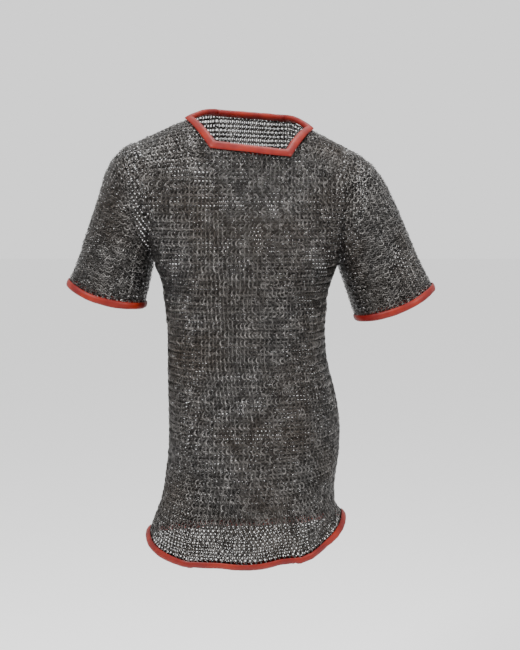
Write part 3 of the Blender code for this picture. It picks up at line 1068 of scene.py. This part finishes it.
@dataclass
class Strip:
    """A leather strip folded over an open edge of the mail.

    edge and line are matching points on the mail's open edge and at the strip's cut edge.
    """

    name: str
    node: str
    edge: Array
    line: Array
    finish: bpy.types.Material
    thickness: float = 1.3 * MM
    wrinkle: float = 0.42 * MM
    wrinkle_length: float = 9.0 * MM
    waver: float = 0.7 * MM
    fold_waver_length: float = 30.0 * MM
    cut_waver_length: float = 45.0 * MM
    hidden_depth: float = 3.0 * MM
    hidden_reach: float = 30.0 * MM
    # Leather that goes round the mail's edge, on top of the two widths
    round_fold: float = 6.0 * MM
    smooth_below: float = 60.0
    # Across the fold: share of the width from the mail's edge, and height over the mail
    profile: tuple[tuple[float, float], ...] = (
        (1.00, 2.5), (0.95, 3.5), (0.74, 4.0), (0.44, 4.1), (0.16, 3.8), (-0.07, 2.7),
        (-0.19, 0.0),
        (-0.07, -2.7), (0.16, -3.7), (0.44, -3.9), (0.74, -3.8), (0.95, -3.3), (1.00, -2.5))

    def outward(self) -> Array:
        """Find which way the mail faces along the edge.

        Returns:
            The mail's outward normal at each place.
        """
        along = np.roll(self.edge, -1, axis=0) - np.roll(self.edge, 1, axis=0)
        normal = unit(np.cross(along, self.line - self.edge))
        middle = self.edge.mean(axis=0)
        facing = np.sum(normal * (self.edge - middle), axis=1)
        normal = normal * np.sign(np.median(facing))
        for _ in range(2):
            normal = unit(np.roll(normal, 1, axis=0) + np.roll(normal, -1, axis=0) + 2.0 * normal)
        return normal

    def loops(self) -> list[Array]:
        """Shape the strip's section at every place along it.

        Returns:
            The fold's loops, from the outer cut edge round the fold to the inner one.
        """
        normal = self.outward()
        across = self.line - self.edge
        seed = float(len(self.name))
        fold_wave = waves(self.edge, self.fold_waver_length, seed) * self.waver
        cut_wave = waves(self.line, self.cut_waver_length, seed + 4.0) * self.waver
        result = []
        for share, height in self.profile:
            spots = self.edge + across * share
            crease = waves(self.edge + across * (share * 0.3), self.wrinkle_length, seed + 9.0)
            lift = height * MM + np.sign(height) * crease * self.wrinkle
            slide = fold_wave * (1.0 - share) + cut_wave * max(share, 0.0)
            result.append(spots + normal * lift[:, None] + unit(across) * slide[:, None])
        return result

    def covers(self, spots: Array) -> Array:
        """Find the rings that the strip hides.

        Args:
            spots: The rings' centres.

        Returns:
            Which of them lie so far under the strip that the ring can't be seen.
        """
        across = unit(self.edge - self.line)
        hidden = np.zeros(len(spots), dtype=bool)
        at_once = 2000
        for start in range(0, len(spots), at_once):
            block = spots[start:start + at_once]
            away = block[:, None, :] - self.line[None, :, :]
            distance = np.linalg.norm(away, axis=2)
            nearest = np.argmin(distance, axis=1)
            rows = np.arange(len(block))
            depth = np.sum(away[rows, nearest] * across[nearest], axis=1)
            near = distance[rows, nearest] < self.hidden_reach
            hidden[start:start + at_once] = (depth > self.hidden_depth) & near
        return hidden

    def build(self) -> bpy.types.Object:
        """Extrude the first loop over the fold, thicken it and dress it.

        Returns:
            The piece.
        """
        loops = self.loops()
        count = len(loops[0])
        deselect_all()
        bpy.ops.mesh.primitive_circle_add(vertices=count, fill_type="NOTHING")
        piece = bpy.context.object
        piece.name = self.name
        mesh = piece.data
        mesh.name = self.name
        mesh.vertices.foreach_set("co", loops[0].astype(np.float32).ravel())
        piece.matrix_world.identity()
        for loop in loops[1:]:
            bpy.ops.object.mode_set(mode="EDIT")
            bpy.ops.mesh.extrude_region_move()
            bpy.ops.object.mode_set(mode="OBJECT")
            for index, spot in enumerate(loop):
                mesh.vertices[len(mesh.vertices) - count + index].co = spot
        mesh.update()
        self.lay_out(mesh, loops, count)
        self.face_outwards(piece, loops)
        modifier = piece.modifiers.new("thickness", "SOLIDIFY")
        modifier.thickness = self.thickness
        modifier.offset = -1.0
        bpy.ops.object.modifier_apply(modifier=modifier.name)
        bpy.ops.object.shade_smooth_by_angle(angle=math.radians(self.smooth_below))
        mesh.materials.append(self.finish)
        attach(piece, "root")
        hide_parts(self.node)
        length = lengths_along(closed(self.line))[-1]
        reach = float(np.median(np.linalg.norm(self.line - self.edge, axis=1)))
        width = 2.0 * reach + self.round_fold
        LOG.info("%s: %.0f x %.0f mm of leather", self.name, length / MM, width / MM)
        return piece

    @staticmethod
    def lay_out(mesh: bpy.types.Mesh, loops: list[Array], count: int) -> None:
        """Give the strip a UV map in metres, along the strip and across it.

        Args:
            mesh: The strip's mesh.
            loops: Its loops, from one cut edge to the other.
            count: How many points a loop has.
        """
        layer = mesh.uv_layers.new(name="strip")
        run = lengths_along(closed(loops[len(loops) // 2]))
        widths = [0.0]
        for before, after in zip(loops, loops[1:]):
            widths.append(widths[-1] + float(np.linalg.norm(after - before, axis=1).mean()))
        for face in mesh.polygons:
            stations = [mesh.loops[corner].vertex_index % count for corner in face.loop_indices]
            wraps = max(stations) - min(stations) > count // 2
            for corner, station in zip(face.loop_indices, stations):
                place = run[count] if wraps and station == 0 else run[station]
                layer.data[corner].uv = (
                    place, widths[mesh.loops[corner].vertex_index // count])

    @staticmethod
    def face_outwards(piece: bpy.types.Object, loops: list[Array]) -> None:
        """Turn the faces so that they point away from the mail.

        Args:
            piece: The strip.
            loops: Its loops, from one cut edge to the other.
        """
        mesh = piece.data
        fold = len(loops) // 2
        middle = (loops[0] + loops[-1]) / 2.0
        face = mesh.polygons[0]
        station = min(index % len(middle) for index in face.vertices)
        if face.normal.dot(Vector(loops[fold // 2][station] - middle[station])) < 0.0:
            bpy.ops.object.mode_set(mode="EDIT")
            bpy.ops.mesh.select_all(action="SELECT")
            bpy.ops.mesh.flip_normals()
            bpy.ops.object.mode_set(mode="OBJECT")


def clear_of(strips: Sequence[Strip], places: Places) -> Places:
    """Take away the rings that a strip hides.

    Args:
        strips: The strips.
        places: The rings.

    Returns:
        The rings that are left.
    """
    hidden = np.zeros(len(places), dtype=bool)
    for strip in strips:
        hidden |= strip.covers(places.centre)
    return places.where(~hidden)


@dataclass
class Neckline:
    """The neck's edge: two shoulder corners, and two corners in front and behind.

    A corner is its place in millimetres, and how far away the strip's cut edge lies.
    """

    right: tuple[float, ...] = (-109, 0, 7, -10, 0, -3)
    front_right: tuple[float, ...] = (-64, -84, -42, -6, -5, -10)
    front_left: tuple[float, ...] = (64, -84, -57, 6, -5, -10)
    left: tuple[float, ...] = (103, 0, -11, 10, 0, -4)
    back_left: tuple[float, ...] = (63, 68, 14, 6, 8, -6)
    back_right: tuple[float, ...] = (-63, 68, 24, -6, 8, -5)
    side_lift: float = 5.0
    side_points: int = 22
    level_points: int = 30

    def lines(self) -> tuple[Array, Array]:
        """Run round the neck, straight in front and behind, and arched on the shoulders.

        Returns:
            Matching points on the edge and at the strip's cut edge.
        """
        corners = [np.array(corner, dtype=float) for corner in (
            self.right, self.front_right, self.front_left,
            self.left, self.back_left, self.back_right)]
        edge, line = [], []
        for leg, (start, end) in enumerate(zip(corners, corners[1:] + corners[:1])):
            level = leg % 3 == 1
            points = self.level_points if level else self.side_points
            for share in np.arange(points) / points:
                corner = start + (end - start) * share
                if not level:
                    corner[2] += self.side_lift * 4.0 * share * (1.0 - share)
                edge.append(corner[:3])
                line.append(corner[:3] + corner[3:])
        return np.array(edge) * MM, np.array(line) * MM


@dataclass
class Hem:
    """The body's lower edge."""

    body: Body
    points: int = 220
    climb: tuple[float, ...] = (0.6 * MM, 4.0 * MM, 8.0 * MM, 12.0 * MM, 16.0 * MM)

    def lines(self) -> tuple[Array, Array]:
        """Run round the hem, at several heights above it.

        Returns:
            Matching points on the hem's edge and at the strip's cut edge.
        """
        every = np.arange(len(self.body.bearings))
        levels = []
        for rise in self.climb:
            # A ray that slips past the edge takes its place from its neighbours
            front, back = [
                read_at(every, order, spots) for spots, order in (
                    self.body.trace(side, self.body.hem_height + rise, level=True)
                    for side in (Side.FRONT, Side.BACK))]
            levels.append(np.concatenate([front, back[::-1]]))
        return edge_lines(np.array(levels), self.points)


# Studio


@dataclass(frozen=True)
class Lamp:
    """A soft square light that shines at the chest: its side in metres, its power in watts."""

    name: str
    place: tuple[float, float, float]
    side: float
    power: float
    chest: tuple[float, float, float] = (0.0, 0.0, -0.35)

    def build(self) -> None:
        """Add the light."""
        data = bpy.data.lights.new(self.name, "AREA")
        data.size = self.side
        data.energy = self.power
        lamp = bpy.data.objects.new(self.name, data)
        lamp.location = self.place
        aim = Vector(self.chest) - Vector(self.place)
        lamp.rotation_euler = aim.to_track_quat("-Z", "Y").to_euler()
        bpy.context.scene.collection.objects.link(lamp)


@dataclass(frozen=True)
class Studio:
    """The camera, the lights and the pale floor."""

    camera_at: tuple[float, float, float] = (0.0167, -2.2, -0.15)
    tilt: float = 5.8
    lens: float = 65.85
    sensor: float = 36.0
    floor_height: float = -1.62
    floor_size: float = 60.0
    floor_colour: Colour = (0.93, 0.93, 0.93)
    lamps: tuple[Lamp, ...] = (
        Lamp("key", (-1.5, -2.0, 1.5), 0.5, 150.0),
        Lamp("fill", (2.0, -1.6, 0.7), 0.6, 80.0),
        Lamp("top", (0.2, 0.3, 1.9), 1.0, 60.0))
    world: Colour = (1.0, 1.0, 1.0)
    world_strength: float = 1.3

    def build(self) -> None:
        """Set the camera, the floor and the lights."""
        data = bpy.data.cameras.new("camera")
        data.lens = self.lens
        data.sensor_width = self.sensor
        camera = bpy.data.objects.new("camera", data)
        camera.location = self.camera_at
        camera.rotation_euler = (math.radians(90.0 - self.tilt), 0.0, 0.0)
        bpy.context.scene.collection.objects.link(camera)
        bpy.context.scene.camera = camera
        deselect_all()
        bpy.ops.mesh.primitive_plane_add(
            size=self.floor_size, location=(0.0, 0.0, self.floor_height))
        floor = bpy.context.object
        floor.name = "floor"
        floor.data.materials.append(PlainFinish("floor_white", self.floor_colour).make())
        for lamp in self.lamps:
            lamp.build()
        world = bpy.data.worlds.new("studio")
        world.use_nodes = True
        sky = world.node_tree.nodes["Background"]
        sky.inputs["Color"].default_value = (*self.world, 1.0)
        sky.inputs["Strength"].default_value = self.world_strength
        bpy.context.scene.world = world


def main() -> None:
    """Build the shirt and its studio."""
    logging.basicConfig(level=logging.INFO, format="%(message)s")
    steel = SteelFinish().make()
    leather = LeatherFinish().make()
    cloth = MailCloth(Ring(), steel)
    body = Body(cloth)
    right = Sleeve(cloth, "sleeve_right", armhole=((-0.203, -0.033), (-0.178, -0.260)),
                   cuff=((-0.339, -0.297), (-0.197, -0.339)), seed=21)
    left = Sleeve(cloth, "sleeve_left", armhole=((0.172, -0.046), (0.159, -0.260)),
                  cuff=((0.339, -0.305), (0.196, -0.363)), seed=22)
    cuff_points = 100
    strips = [
        Strip("neck_strip", "neck_binding", *Neckline().lines(), leather),
        Strip("hem_strip", "hem_binding", *Hem(body).lines(), leather),
        Strip("cuff_strip_right", "cuff_binding_right", *right.edge_lines(cuff_points), leather),
        Strip("cuff_strip_left", "cuff_binding_left", *left.edge_lines(cuff_points), leather),
    ]
    body.build(strips)
    right.build(strips)
    left.build(strips)
    for strip in strips:
        strip.build()
    Studio().build()


if __name__ == "__main__":
    main()
